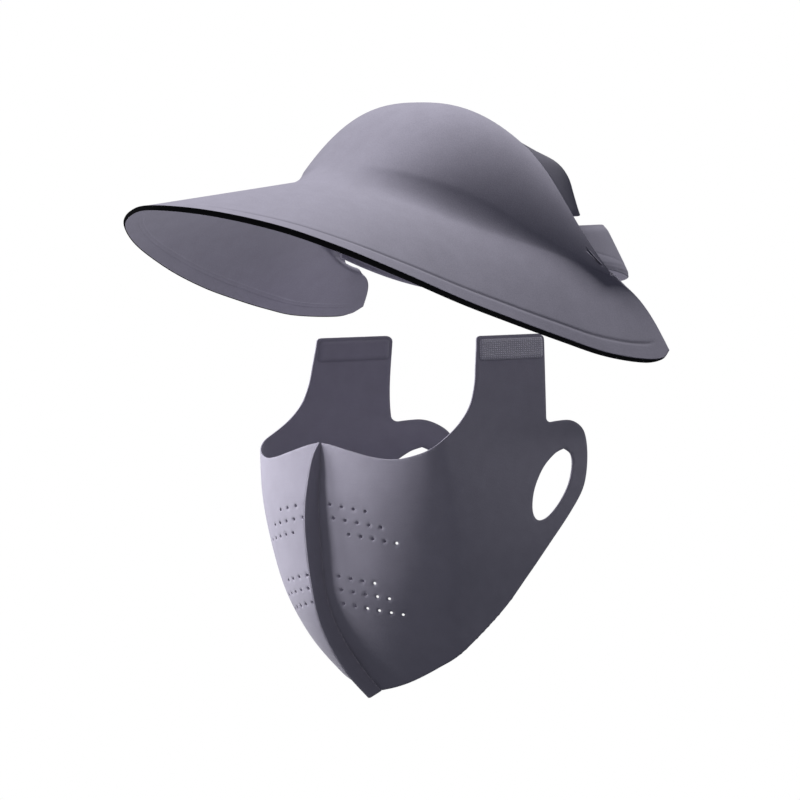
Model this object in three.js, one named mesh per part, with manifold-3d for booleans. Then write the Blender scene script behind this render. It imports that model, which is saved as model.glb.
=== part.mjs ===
// Sun hat with face mask. Millimetres, +Z up, face towards -Y, wearer's left towards +X.
// The origin is in the middle of the head opening, level with the front of the brim.
import * as THREE from "three";
import { mergeVertices } from "three/addons/utils/BufferGeometryUtils.js";
import Module from "manifold-3d";

const wasm = await Module();
wasm.setup();

// Walls, and the gap that neighbours keep
const GAP = 0.3;
const SHELL_WALL = 2.2;
const PANEL_WALL = 1.4;
const STRAP_WALL = 1.6;
const MASK_WALL = 1.2;
const PATCH_WALL = 1;

// Crown: level ribs over a fold that is a parabola in plan and lies in a plane falling to the back
const FOLD_FRONT_Y = -104;
const FOLD_FRONT_Z = 9.6;
const FOLD_FALL = 0.455;
const NOTCH_X = 122;
const NOTCH_Y = 29;
const FOLD_CURVE = (NOTCH_Y - FOLD_FRONT_Y) / NOTCH_X ** 2;
const ARCH_TOP_Y = 5.8;
const ARCH_CURVE = 9;
const CROWN_LENGTH = 109;
const CROWN_RISE = { linear: 104, square: 103, cube: -120 };
const RIB = { top: 1.3, side: 0.6 };
const SIDE_COLUMNS = 16;
const COLUMN_CROWDING = 1.15;
const CROWN_ROWS = [0, 0.05, 0.14, 0.27, 0.41, 0.54, 0.66, 0.77, 0.86, 0.93, 0.98, 1];
const BRIM_ROWS = 7;

// Rim on the wearer's left, from the front to the rear corner; at is the share of its length
const RIM = [
  { at: 0, x: 0, y: -242.5, z: -6 },
  { at: 0.12, x: 39, y: -228, z: -9.5 },
  { at: 0.22, x: 73, y: -205, z: -18.5 },
  { at: 0.3, x: 93.5, y: -179, z: -30 },
  { at: 0.41, x: 108, y: -141, z: -46 },
  { at: 0.54, x: 118.5, y: -98, z: -62 },
  { at: 0.63, x: 127.5, y: -65, z: -72 },
  { at: 0.74, x: 137.5, y: -29, z: -82 },
  { at: 0.83, x: 143.5, y: 3, z: -89.5 },
  { at: 0.93, x: 144.5, y: 44, z: -93 },
  { at: 0.97, x: 143.5, y: 55, z: -91.5 },
  { at: 1, x: 140.5, y: 63, z: -87 },
];
const RIM_ROUND_FRONT = [{ ...RIM[1], at: -RIM[1].at, x: -RIM[1].x }, ...RIM];
const BRIM_CROWNING = { side: 5, from: 0.1, to: 0.5 };
const LOBE_BOW = { x: -5, y: 7, z: 6, from: 0.75 };
const LOBE_TWIST = { fall: 11, from: -150, to: 66 };
const EDGE_DEPTH = 2.2;
const EDGE_HEIGHT = 2.6;
const EDGE_GAP = 0.5;

// Slit through each side of the crown close to its rear edge
const SLIT = { length: 8, width: 1.4, column: 0.958, row: 0.45 };

// Back panel: along is the share of the rear arch from its top, bulge how far back it stands there
const PANEL = [
  { along: 0, bulge: 0 },
  { along: 0.25, bulge: 10 },
  { along: 0.45, bulge: 22 },
  { along: 0.57, bulge: 38 },
  { along: 0.65, bulge: 59 },
  { along: 0.73, bulge: 63 },
  { along: 0.8, bulge: 55 },
  { along: 0.86, bulge: 45 },
];
const PANEL_GAP = 0.6;
const PANEL_ROWS = 12;
const PANEL_TUCK = 5;
const PANEL_COLUMNS = 18;

// Strap round the back of the head; turn starts at the wearer's left
const STRAP = [
  { turn: -5, top: -19.5, height: 24 },
  { turn: 37, top: -20, height: 33 },
  { turn: 90, top: -29, height: 33 },
  { turn: 135, top: -34, height: 32 },
  { turn: 185, top: -20, height: 23 },
];
const STRAP_CENTRE_Y = 21;
const STRAP_HALF = 99.6;
const STRAP_REACH = 78;
const STRAP_FLARE = 0.5;
const STRAP_ROWS = 4;
const STRAP_COLUMNS = 24;

// Mask, measured from the top of its nose: seam is where a level section starts,
// half its half width and round how far back its front corner is rounded
const NOSE = { y: -107, z: -155 };
const MASK_SECTIONS = [
  { z: 72, seam: 0, half: 74, round: 30, taper: 0.06 },
  { z: 12, seam: 0, half: 80, round: 30, taper: 0.11 },
  { z: -5, seam: -0.5, half: 82, round: 31, taper: 0.17 },
  { z: -37, seam: -3.5, half: 83, round: 40, taper: 0.18 },
  { z: -72, seam: -2, half: 79, round: 48, taper: 0.16 },
  { z: -95, seam: 1, half: 72, round: 50, taper: 0.14 },
  { z: -112, seam: 7.5, half: 66, round: 49, taper: 0.12 },
  { z: -130, seam: 19, half: 60, round: 46, taper: 0.12 },
  { z: -148, seam: 35, half: 52, round: 42, taper: 0.12 },
  { z: -168, seam: 56, half: 42, round: 38, taper: 0.12 },
];
const MASK_ROLL = -2.2;
const MASK_REACH = 200;
const MASK_ROWS = 13;
const MASK_COLUMNS = 15;

// Cutting outlines of a mask half, seen square to this turn from the front: across and up in mm
const OUTLINE_TURN = 46;
const TOP_EDGE = [
  { across: -20, up: 4 },
  { across: 0, up: 0 },
  { across: 7, up: -1.5 },
  { across: 20, up: -5.5 },
  { across: 33, up: -9 },
  { across: 46, up: -10.5 },
  { across: 58, up: -8.5 },
  { across: 69, up: -4.5 },
  { across: 80, up: 3 },
  { across: 89, up: 12 },
  { across: 95, up: 22 },
  { across: 98, up: 34 },
  { across: 99, up: 46 },
  { across: 100, up: 60 },
];
const TAB = { front: 100, rear: 143.5, top: 64, corner: 4, notch: 10.5 };
const LOOP_EDGE = [
  { across: 145, up: 7.5 },
  { across: 151, up: 8 },
  { across: 159, up: 8 },
  { across: 165, up: 5 },
  { across: 169, up: -1 },
  { across: 170.5, up: -12 },
  { across: 169.5, up: -26 },
  { across: 166, up: -38 },
  { across: 157, up: -52 },
  { across: 144, up: -69 },
  { across: 128, up: -90 },
  { across: 112, up: -110 },
  { across: 86.5, up: -134 },
  { across: 71, up: -143.5 },
  { across: 56, up: -151.5 },
  { across: 45, up: -156 },
  { across: 33, up: -159.5 },
  { across: 10, up: -166 },
];
const EAR_HOLE = [
  { across: 155, up: -10 },
  { across: 159.5, up: -14 },
  { across: 160, up: -22 },
  { across: 157, up: -33.5 },
  { across: 150.5, up: -44.5 },
  { across: 142.5, up: -52.5 },
  { across: 136, up: -53.5 },
  { across: 133, up: -47 },
  { across: 134.5, up: -34.5 },
  { across: 140.5, up: -21.5 },
  { across: 148.5, up: -13 },
];
const EAR_HOLE_STEPS = 22;

// Breathing holes: rows of a group, each starting at across and up and falling towards the ear
const HOLE = { radius: 0.9, pitch: 7.4, fall: 1.4, sides: 6 };
const HOLE_ROWS = [
  { across: 5.5, up: -38.5, count: 4 },
  { across: 7.5, up: -47, count: 5 },
  { across: 17, up: -57, count: 5 },
  { across: 10, up: -83.5, count: 4 },
  { across: 11.5, up: -92, count: 5 },
  { across: 12.5, up: -101, count: 6 },
];

// Centre seam fin: its front edge stands this far before the seam
const FIN = [
  { z: 0, stand: 1 },
  { z: -6, stand: 5 },
  { z: -27, stand: 9.5 },
  { z: -49, stand: 11.5 },
  { z: -69, stand: 11.5 },
  { z: -93, stand: 10.5 },
  { z: -116, stand: 12.5 },
  { z: -132, stand: 15 },
  { z: -147, stand: 17 },
  { z: -163, stand: 17 },
];
const FIN_END_RISE = 4;
const FIN_WALL = 2.4;
const FIN_STEPS = 20;

// Hook patch on the outside of each tab
const PATCH = { front: 101.5, rear: 142, top: 62, bottom: 48.5, corner: 2 };

const FABRIC = new THREE.MeshStandardMaterial({ color: 0x8f8a9a, roughness: 0.85 });
const DARK_EDGE = new THREE.MeshStandardMaterial({ color: 0x0a0a0c, roughness: 0.6 });
const HOOK_TAPE = new THREE.MeshStandardMaterial({ color: 0x8d8896, roughness: 0.7 });

// Smooth value of a column at a place along a table, by cubic pieces with even slopes at the rows
function readTable(rows, key, column, place) {
  const last = rows.length - 1;
  const sign = Math.sign(rows[last][key] - rows[0][key]);
  let i = 0;
  while (i < last - 1 && (place - rows[i + 1][key]) * sign > 0) i += 1;
  const chord = (k) => (rows[k + 1][column] - rows[k][column]) / (rows[k + 1][key] - rows[k][key]);
  const slope = (k) => {
    if (k === 0) return chord(0);
    if (k === last) return chord(last - 1);
    return (chord(k - 1) + chord(k)) / 2;
  };
  const span = rows[i + 1][key] - rows[i][key];
  const t = (place - rows[i][key]) / span;
  const [a, b] = [rows[i][column], rows[i + 1][column]];
  const [m, n] = [slope(i) * span, slope(i + 1) * span];
  return (
    a * (2 * t ** 3 - 3 * t ** 2 + 1) +
    m * (t ** 3 - 2 * t ** 2 + t) +
    b * (3 * t ** 2 - 2 * t ** 3) +
    n * (t ** 3 - t ** 2)
  );
}

// Grid of points, rows by columns, as triangles with shared points merged
function gridGeometry(grid) {
  const columns = grid[0].length;
  const index = [];
  for (let i = 0; i + 1 < grid.length; i += 1) {
    for (let j = 0; j + 1 < columns; j += 1) {
      const a = i * columns + j;
      const b = a + columns;
      index.push(a, b, b + 1, a, b + 1, a + 1);
    }
  }
  const geometry = new THREE.BufferGeometry().setFromPoints(grid.flat());
  geometry.setIndex(index);
  return mergeVertices(geometry, 1e-3);
}

// Closed wall behind a sheet: the same points pushed back along their normals, and strips round its edges
function thicken(sheet, wall, lift = 0) {
  const position = sheet.getAttribute("position");
  const triangles = [];
  for (let i = 0; i < sheet.index.count; i += 3) {
    const [a, b, c] = [0, 1, 2].map((k) => sheet.index.getX(i + k));
    if (a !== b && b !== c && c !== a) triangles.push([a, b, c]);
  }
  const count = position.count;
  const points = [];
  const normals = [];
  for (let i = 0; i < count; i += 1) {
    points.push(new THREE.Vector3().fromBufferAttribute(position, i));
    normals.push(new THREE.Vector3());
  }
  for (const [a, b, c] of triangles) {
    const side = points[b].clone().sub(points[a]);
    const face = side.cross(points[c].clone().sub(points[a]));
    for (const k of [a, b, c]) normals[k].add(face);
  }
  normals.forEach((n) => n.normalize());
  const outer = points.map((p, i) => p.clone().addScaledVector(normals[i], lift));
  const inner = points.map((p, i) => p.clone().addScaledVector(normals[i], lift - wall));
  const edges = new Set(triangles.flatMap(([a, b, c]) => [`${a},${b}`, `${b},${c}`, `${c},${a}`]));
  const faces = [];
  for (const [a, b, c] of triangles) {
    faces.push([a, b, c], [c + count, b + count, a + count]);
    for (const [p, q] of [[a, b], [b, c], [c, a]]) {
      if (!edges.has(`${q},${p}`)) faces.push([q, p, p + count], [q, p + count, q + count]);
    }
  }
  return solid([...outer, ...inner], faces);
}

function solid(points, faces) {
  const vertProperties = new Float32Array(points.flatMap((p) => [p.x, p.y, p.z]));
  const triVerts = new Uint32Array(faces.flat());
  return new wasm.Manifold(new wasm.Mesh({ numProp: 3, vertProperties, triVerts }));
}

// A closed three.js geometry as a solid that can be joined and cut
function solidOf(geometry) {
  geometry.deleteAttribute("normal");
  geometry.deleteAttribute("uv");
  const merged = mergeVertices(geometry, 1e-3);
  const position = merged.getAttribute("position");
  const triVerts = new Uint32Array(merged.index.array);
  return new wasm.Manifold(new wasm.Mesh({ numProp: 3, vertProperties: position.array, triVerts }));
}

function meshOf(name, body, material) {
  const made = body.getMesh();
  const geometry = new THREE.BufferGeometry();
  geometry.setAttribute("position", new THREE.BufferAttribute(new Float32Array(made.vertProperties), 3));
  geometry.setIndex(new THREE.BufferAttribute(new Uint32Array(made.triVerts), 1));
  geometry.computeVertexNormals();
  const mesh = new THREE.Mesh(geometry, material);
  mesh.name = name;
  return mesh;
}

// Height of the crown over a plan point on the wearer's left
function crownHeight(x, y) {
  const inside = Math.max(y - FOLD_FRONT_Y, 1e-6);
  const along = inside / CROWN_LENGTH;
  const rise = CROWN_RISE.linear * along + CROWN_RISE.square * along ** 2 + CROWN_RISE.cube * along ** 3;
  const across = Math.min((FOLD_CURVE * x * x) / inside, 1);
  return FOLD_FRONT_Z - FOLD_FALL * inside + rise * (1 - across ** RIB.top) ** RIB.side;
}

// Point of the crown over a plan point on the wearer's left
function crownAt(x, y) {
  return new THREE.Vector3(x, y, crownHeight(x, y));
}

// Rear arch in plan: straight across the top of the head, then swept back to the notch
function archY(x) {
  return ARCH_TOP_Y + (NOTCH_Y - ARCH_TOP_Y) * (x / NOTCH_X) ** ARCH_CURVE;
}

// Point of the crown on the wearer's left: column runs out from the middle, row from the rear arch to the fold
function crownPoint(column, row) {
  const x = NOTCH_X * column;
  const foldY = FOLD_FRONT_Y + FOLD_CURVE * x * x;
  return crownAt(x, THREE.MathUtils.lerp(archY(x), foldY, row));
}

// Upward normal of the crown there, by small differences
function crownNormal(x, y) {
  const step = 0.5;
  const slopeX = (crownHeight(x + step, y) - crownHeight(x - step, y)) / (2 * step);
  const slopeY = (crownHeight(x, y + step) - crownHeight(x, y - step)) / (2 * step);
  return new THREE.Vector3(-slopeX, -slopeY, 1).normalize();
}

function rimPoint(column) {
  return new THREE.Vector3(...["x", "y", "z"].map((axis) => readTable(RIM_ROUND_FRONT, "at", axis, column)));
}

// Point of the brim: straight from the fold to the rim, arched up between them and bowed at the rear lobe
function brimPoint(column, row) {
  const point = crownPoint(column, 1).lerp(rimPoint(column), row);
  const arch = Math.sin(Math.PI * row);
  const lobe = THREE.MathUtils.smoothstep(column, LOBE_BOW.from, 1) * arch;
  const side = THREE.MathUtils.smoothstep(column, BRIM_CROWNING.from, BRIM_CROWNING.to);
  point.z += BRIM_CROWNING.side * side * (arch - lobe);
  point.add(new THREE.Vector3(LOBE_BOW.x, LOBE_BOW.y, LOBE_BOW.z).multiplyScalar(lobe));
  return point;
}

// Puts a point of the left half on either side; the left lobe hangs lower than the right one
function onSide(point, side, loose = 0) {
  const back = THREE.MathUtils.smoothstep(point.y, LOBE_TWIST.from, LOBE_TWIST.to);
  const hang = LOBE_TWIST.fall * back * loose;
  return new THREE.Vector3(point.x * side, point.y, point.z - hang * side * Math.min(point.x / NOTCH_X, 1));
}

// Columns of the whole hat, from the right rear edge over the front to the left rear edge, closer at the rear
function hatColumns() {
  const columns = [];
  for (let k = -SIDE_COLUMNS; k <= SIDE_COLUMNS; k += 1) {
    const column = 1 - (1 - Math.abs(k) / SIDE_COLUMNS) ** COLUMN_CROWDING;
    columns.push({ column, side: k < 0 ? -1 : 1 });
  }
  return columns;
}

// Rim of the shell, held back so that the dark edge strip fits before it
function pulledRim(column, distance) {
  const rim = brimPoint(column, 1);
  const inward = brimPoint(column, 0.95).sub(rim).normalize();
  return rim.addScaledVector(inward, distance);
}

function hatShell() {
  const grid = CROWN_ROWS.map((row) =>
    hatColumns().map(({ column, side }) => onSide(crownPoint(column, row), side)),
  );
  for (let i = 1; i < BRIM_ROWS; i += 1) {
    const row = i / BRIM_ROWS;
    grid.push(hatColumns().map(({ column, side }) => onSide(brimPoint(column, row), side, row)));
  }
  const held = EDGE_DEPTH + EDGE_GAP;
  grid.push(hatColumns().map(({ column, side }) => onSide(pulledRim(column, held), side, 1)));
  let shell = thicken(gridGeometry(grid), SHELL_WALL);
  for (const side of [1, -1]) shell = shell.subtract(slitCutter(side));
  return meshOf("hat_shell", shell, FABRIC);
}

// Box along the rear edge that cuts the slit
function slitCutter(side) {
  const place = crownPoint(SLIT.column, SLIT.row);
  const normal = crownNormal(place.x, place.y);
  const centre = onSide(place, side);
  const ahead = onSide(crownPoint(SLIT.column + 0.02, SLIT.row), side);
  normal.x *= side;
  const along = ahead.sub(centre).normalize();
  const across = normal.clone().cross(along).normalize();
  const box = new THREE.BoxGeometry(SLIT.length, SLIT.width, SHELL_WALL * 4);
  const turn = new THREE.Matrix4().makeBasis(along, across, along.clone().cross(across));
  box.applyMatrix4(turn.setPosition(centre));
  return solidOf(box);
}

function brimEdge() {
  const middle = hatColumns().map(({ column, side }) => onSide(pulledRim(column, EDGE_DEPTH), side, 1));
  const outer = hatColumns().map(({ column, side }) => onSide(brimPoint(column, 1), side, 1));
  const lift = (EDGE_HEIGHT - SHELL_WALL) / 2;
  return meshOf("brim_edge", thicken(gridGeometry([middle, outer]), EDGE_HEIGHT, lift), DARK_EDGE);
}

// Back panel: at each height a half ellipse from one side of the arch to the other, its ends tucked inside
function crownBackPanel() {
  const inset = SHELL_WALL + PANEL_GAP;
  const lowest = PANEL[PANEL.length - 1].along;
  const grid = [];
  for (let i = 0; i <= PANEL_ROWS; i += 1) {
    const row = Math.max((lowest * i) / PANEL_ROWS, 0.02);
    const bulge = readTable(PANEL, "along", "bulge", row);
    const x = NOTCH_X * row;
    const [edge, tuck] = [archY(x), archY(x) - PANEL_TUCK].map((y) =>
      crownAt(x, y).addScaledVector(crownNormal(x, y), -inset),
    );
    const points = [onSide(tuck, 1)];
    for (let j = 0; j <= PANEL_COLUMNS; j += 1) {
      const turn = (Math.PI * j) / PANEL_COLUMNS;
      points.push(new THREE.Vector3(edge.x * Math.cos(turn), edge.y + bulge * Math.sin(turn), edge.z));
    }
    points.push(onSide(tuck, -1));
    grid.push(points);
  }
  return meshOf("crown_back_panel", thicken(gridGeometry(grid), PANEL_WALL), FABRIC);
}

// Strap: a band on a cone that opens downwards, round the back of the head between the notches
function backStrap() {
  const grid = [];
  const [start, end] = [STRAP[0].turn, STRAP[STRAP.length - 1].turn];
  for (let i = 0; i <= STRAP_ROWS; i += 1) {
    const row = [];
    for (let j = 0; j <= STRAP_COLUMNS; j += 1) {
      const turn = start + ((end - start) * j) / STRAP_COLUMNS;
      const top = readTable(STRAP, "turn", "top", turn);
      const height = (readTable(STRAP, "turn", "height", turn) * i) / STRAP_ROWS;
      const angle = THREE.MathUtils.degToRad(turn);
      const flare = STRAP_FLARE * height;
      const x = (STRAP_HALF + flare) * Math.cos(angle);
      const y = STRAP_CENTRE_Y + (STRAP_REACH + flare) * Math.sin(angle);
      row.push(new THREE.Vector3(x, y, top - height));
    }
    grid.push(row);
  }
  return meshOf("back_strap", thicken(gridGeometry(grid), STRAP_WALL), FABRIC);
}

// Level section of a mask half at a height; along runs from the seam back, in mm of oblique width
function maskPoint(z, share, side) {
  const seam = readTable(MASK_SECTIONS, "z", "seam", z);
  const half = readTable(MASK_SECTIONS, "z", "half", z);
  const round = readTable(MASK_SECTIONS, "z", "round", z);
  const taper = readTable(MASK_SECTIONS, "z", "taper", z);
  const corner = 0.6;
  const start = FIN_WALL / 2 + GAP;
  let x = half;
  let y = seam + round;
  if (share < corner) {
    const turn = ((Math.PI / 2) * share) / corner;
    x = start + (half - start) * Math.sin(turn);
    y = seam + round * (1 - Math.cos(turn));
  } else {
    const back = (MASK_REACH * (share - corner)) / (1 - corner);
    y += back;
    x -= (taper * back * back) / (back + round);
  }
  return new THREE.Vector3(x * side, y, z);
}

function maskSheet() {
  const grid = [];
  const top = MASK_SECTIONS[0].z;
  const bottom = MASK_SECTIONS[MASK_SECTIONS.length - 1].z;
  for (let i = 0; i <= MASK_ROWS; i += 1) {
    const row = [];
    for (let j = 0; j <= MASK_COLUMNS; j += 1) {
      row.push(maskPoint(top + ((bottom - top) * i) / MASK_ROWS, j / MASK_COLUMNS, 1));
    }
    grid.push(row);
  }
  return gridGeometry(grid);
}

const toVector2 = ({ across, up }) => new THREE.Vector2(across, up);

// A flat shape stood up square to the outline's turn and pushed through the left half of the mask
function pierce(shape, curveSegments) {
  const depth = 500;
  const geometry = new THREE.ExtrudeGeometry(shape, { depth, bevelEnabled: false, curveSegments });
  geometry.translate(0, 0, -depth / 2);
  geometry.rotateX(Math.PI / 2);
  geometry.rotateZ(THREE.MathUtils.degToRad(OUTLINE_TURN));
  return solidOf(geometry);
}

function halfOutline() {
  const shape = new THREE.Shape();
  const [first, ...rest] = TOP_EDGE.map(toVector2);
  shape.moveTo(first.x, first.y);
  shape.splineThru(rest);
  shape.lineTo(TAB.front, TAB.top - TAB.corner / 2);
  shape.quadraticCurveTo(TAB.front, TAB.top, TAB.front + TAB.corner / 2, TAB.top);
  shape.lineTo(TAB.rear - TAB.corner, TAB.top);
  shape.quadraticCurveTo(TAB.rear, TAB.top, TAB.rear, TAB.top - TAB.corner);
  shape.lineTo(TAB.rear, TAB.notch);
  const loop = LOOP_EDGE.map(toVector2);
  shape.quadraticCurveTo(TAB.rear, loop[0].y, loop[0].x, loop[0].y);
  shape.splineThru(loop.slice(1));
  shape.lineTo(first.x, loop[loop.length - 1].y);
  return shape;
}

function maskHalf(side) {
  let half = thicken(maskSheet(), MASK_WALL).intersect(pierce(halfOutline(), 2));
  const ring = new THREE.SplineCurve([...EAR_HOLE, EAR_HOLE[0]].map(toVector2));
  const hole = new THREE.Shape(ring.getPoints(EAR_HOLE_STEPS));
  half = half.subtract(pierce(hole, 1));
  for (const row of HOLE_ROWS) {
    for (let k = 0; k < row.count; k += 1) {
      const across = row.across + HOLE.pitch * k;
      const up = row.up - HOLE.fall * k;
      const dot = new THREE.Shape().absarc(across, up, HOLE.radius, 0, 2 * Math.PI);
      half = half.subtract(pierce(dot, HOLE.sides));
    }
  }
  return sided(half, side);
}

// The left half's body, or its mirror image
function sided(body, side) {
  return side > 0 ? body : body.mirror([1, 0, 0]);
}

function tabPatch(side) {
  const { front, rear, top, bottom, corner } = PATCH;
  const shape = new THREE.Shape();
  shape.moveTo(front, bottom + corner);
  shape.lineTo(front, top - corner);
  shape.quadraticCurveTo(front, top, front + corner, top);
  shape.lineTo(rear - corner, top);
  shape.quadraticCurveTo(rear, top, rear, top - corner);
  shape.lineTo(rear, bottom + corner);
  shape.quadraticCurveTo(rear, bottom, rear - corner, bottom);
  shape.lineTo(front + corner, bottom);
  shape.quadraticCurveTo(front, bottom, front, bottom + corner);
  const sheet = thicken(maskSheet(), PATCH_WALL, PATCH_WALL + GAP);
  return sided(sheet.intersect(pierce(shape, 4)), side);
}

// Fin: the two halves' turned-out edges as one flat strip that stands before the seam
function maskCentreSeam() {
  const bottom = FIN[FIN.length - 1].z;
  const innerBottom = bottom + FIN_END_RISE;
  const inner = [];
  const outer = [];
  for (let i = 0; i <= FIN_STEPS; i += 1) {
    const innerZ = (innerBottom * i) / FIN_STEPS;
    const outerZ = (bottom * i) / FIN_STEPS;
    inner.push(new THREE.Vector2(readTable(MASK_SECTIONS, "z", "seam", innerZ) + MASK_WALL, innerZ));
    const seam = readTable(MASK_SECTIONS, "z", "seam", outerZ);
    outer.push(new THREE.Vector2(seam - readTable(FIN, "z", "stand", outerZ), outerZ));
  }
  const shape = new THREE.Shape([...outer, ...inner.reverse()]);
  const fin = new THREE.ExtrudeGeometry(shape, { depth: FIN_WALL, bevelEnabled: false });
  fin.translate(0, 0, -FIN_WALL / 2);
  fin.rotateX(Math.PI / 2);
  fin.rotateZ(Math.PI / 2);
  return meshOf("mask_centre_seam", solidOf(fin), FABRIC);
}

const hat = new THREE.Group();
hat.add(hatShell(), brimEdge(), crownBackPanel(), backStrap());

const mask = new THREE.Group();
mask.position.set(0, NOSE.y, NOSE.z);
mask.rotation.y = THREE.MathUtils.degToRad(MASK_ROLL);
mask.add(maskCentreSeam());
for (const [name, side] of [["left", 1], ["right", -1]]) {
  mask.add(meshOf(`mask_half_${name}`, maskHalf(side), FABRIC));
  mask.add(meshOf(`tab_patch_${name}`, tabPatch(side), HOOK_TAPE));
}

const sunHatWithMask = new THREE.Group();
sunHatWithMask.add(hat, mask);

export default sunHatWithMask;
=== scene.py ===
"""Sun hat with a face mask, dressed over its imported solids.

Sizes in the tables are millimetres, in the part's frame: +Z up, face towards -Y, wearer's left towards +X.
A mesh gets metres when it is made."""

import math

import bpy
import numpy as np
from bpy.props import FloatProperty, FloatVectorProperty, PointerProperty
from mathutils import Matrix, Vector
from mathutils.geometry import delaunay_2d_cdt


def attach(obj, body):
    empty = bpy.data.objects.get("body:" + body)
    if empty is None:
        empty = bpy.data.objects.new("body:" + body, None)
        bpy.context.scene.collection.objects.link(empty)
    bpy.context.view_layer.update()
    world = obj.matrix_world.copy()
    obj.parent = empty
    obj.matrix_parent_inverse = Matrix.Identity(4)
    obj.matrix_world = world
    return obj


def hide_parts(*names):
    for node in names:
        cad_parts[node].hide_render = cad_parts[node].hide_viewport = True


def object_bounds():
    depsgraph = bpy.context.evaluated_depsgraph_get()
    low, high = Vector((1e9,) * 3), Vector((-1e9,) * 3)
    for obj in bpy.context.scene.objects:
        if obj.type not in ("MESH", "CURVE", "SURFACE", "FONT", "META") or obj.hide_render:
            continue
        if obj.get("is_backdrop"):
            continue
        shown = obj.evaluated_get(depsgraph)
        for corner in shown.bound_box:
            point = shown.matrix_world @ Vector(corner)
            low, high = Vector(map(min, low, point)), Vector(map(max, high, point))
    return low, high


bl_info = {
    "name": "Sun hat with face mask",
    "version": (1, 0, 0),
    "blender": (4, 5, 0),
    "location": "3D View > Sidebar > Sun hat",
    "description": "Builds the cloth pieces of a wide sun hat and its face mask, and the stage round them",
    "category": "Object",
}

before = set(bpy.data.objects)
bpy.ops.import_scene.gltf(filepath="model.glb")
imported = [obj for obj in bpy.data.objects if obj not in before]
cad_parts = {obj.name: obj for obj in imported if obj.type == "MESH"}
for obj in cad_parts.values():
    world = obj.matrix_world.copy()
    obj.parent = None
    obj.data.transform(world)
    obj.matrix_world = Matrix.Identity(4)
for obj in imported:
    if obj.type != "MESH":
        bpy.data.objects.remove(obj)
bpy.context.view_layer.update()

MM = 0.001

# Crown: a dome over a fold that is a parabola in plan and lies in a plane falling to the back
FOLD_FRONT_Y = -104
FOLD_FRONT_Z = 9.6
FOLD_FALL = 0.455
NOTCH_X = 122
NOTCH_Y = 29
FOLD_CURVE = (NOTCH_Y - FOLD_FRONT_Y) / NOTCH_X**2
ARCH_TOP_Y = 5.8
ARCH_CURVE = 9
CROWN_LENGTH = 109
CROWN_RISE = {"linear": 104, "square": 103, "cube": -120}
RIB = {"top": 1.3, "side": 0.6}

# Rim on the wearer's left, from the front to the rear corner; at is the share of its length
RIM = {
    "at": [-0.12, 0, 0.12, 0.22, 0.3, 0.41, 0.54, 0.63, 0.74, 0.83, 0.93, 0.97, 1],
    "x": [-39, 0, 39, 73, 93.5, 108, 118.5, 127.5, 137.5, 143.5, 144.5, 143.5, 140.5],
    "y": [-228, -242.5, -228, -205, -179, -141, -98, -65, -29, 3, 44, 55, 63],
    "z": [-9.5, -6, -9.5, -18.5, -30, -46, -62, -72, -82, -89.5, -93, -91.5, -87],
}
BRIM_CROWNING = {"side": 5, "from": 0.1, "to": 0.5}
LOBE_BOW = {"x": -5, "y": 7, "z": 6, "from": 0.75}
LOBE_TWIST = {"fall": 11, "from": -150, "to": 66}

# Grid of the shell: where its lines are closer, for the slit, the rounded fold and the pressed groove
SHELL_COLUMNS = 240
COLUMN_CROWDING = 1.15
CROWN_ROWS = 51
SLIT = {"columns": (0.936, 0.975), "rows": (0.37, 0.52)}
FOLD_ROWS = 14
FOLD_RADIUS = {"front": 15, "side": 4, "from": 0.6, "to": 0.92, "share": 0.2}
BRIM_ROWS = 26
NEAR_RIM = [22, 20, 18, 16, 14.5, 13.4, 12.6, 12, 11.5, 11, 10.5, 10, 9.4, 8.6, 7.5, 6, 4.5, 3, 2, 1.2, 0.5]
RIM_SHARE = 0.05
FAR_FROM_RIM = 1e3
GROOVE = {"inside": 11, "width": 1.0, "from": 0.02, "to": 0.2, "fades": 0.92, "ends": 0.98}

# Cut edge: how deep it goes under the rim, how far it stands above and below it, and where it ends
EDGE = {
    "columns": 400, "steps": 6, "depth": 0.5, "top": 0.2, "under": 1.7, "thins": 0.92, "thin": 0.965,
    "ends": 0.97,
}
EDGE_THINNER = 0.6
EDGE_LIP = {"from": -0.35, "to": 0.4}
RIM_WITHOUT_EDGE = {"from": 0.955, "to": 0.975}

# Back panel: along is the share of the rear arch from its top, bulge how far back it stands there
PANEL = {
    "along": [0, 0.25, 0.45, 0.57, 0.65, 0.73, 0.8, 0.86],
    "bulge": [0, 10, 22, 38, 59, 63, 55, 45],
}
PANEL_INSET = 2.6
PANEL_TUCK = 5
PANEL_TOP = 0.02

# Strap round the back of the head; turn starts at the wearer's left
STRAP = {
    "turn": [-5, 37, 90, 135, 185],
    "top": [-19.5, -20, -29, -34, -20],
    "height": [24, 33, 33, 32, 23],
}
STRAP_CENTRE_Y = 21
STRAP_HALF = 99.6
STRAP_REACH = 78
STRAP_FLARE = 0.5
STRAP_CURL = {"depth": 1.3, "reach": 2.5}
STRAP_CREASES = [{"at": 0.76, "slant": 0.004}, {"at": 0.86, "slant": -0.001}]
CREASE = {"turn": 30, "width": 0.03, "depth": 0.2, "from": 35, "to": 70}

# Mask, measured from the top of its nose: seam is where a level section starts,
# half its half width and round how far back its front corner is rounded
NOSE = np.array([0, -107, -155])
MASK_ROLL = -2.2
MASK_SECTIONS = {
    "z": [72, 12, -5, -37, -72, -95, -112, -130, -148, -168],
    "seam": [0, 0, -0.5, -3.5, -2, 1, 7.5, 19, 35, 56],
    "half": [74, 80, 82, 83, 79, 72, 66, 60, 52, 42],
    "round": [30, 30, 31, 40, 48, 50, 49, 46, 42, 38],
    "taper": [0.06, 0.11, 0.17, 0.18, 0.16, 0.14, 0.12, 0.12, 0.12, 0.12],
}
MASK_CORNER = 0.6
MASK_REACH = 200
SEAM_START = 1.3

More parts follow.
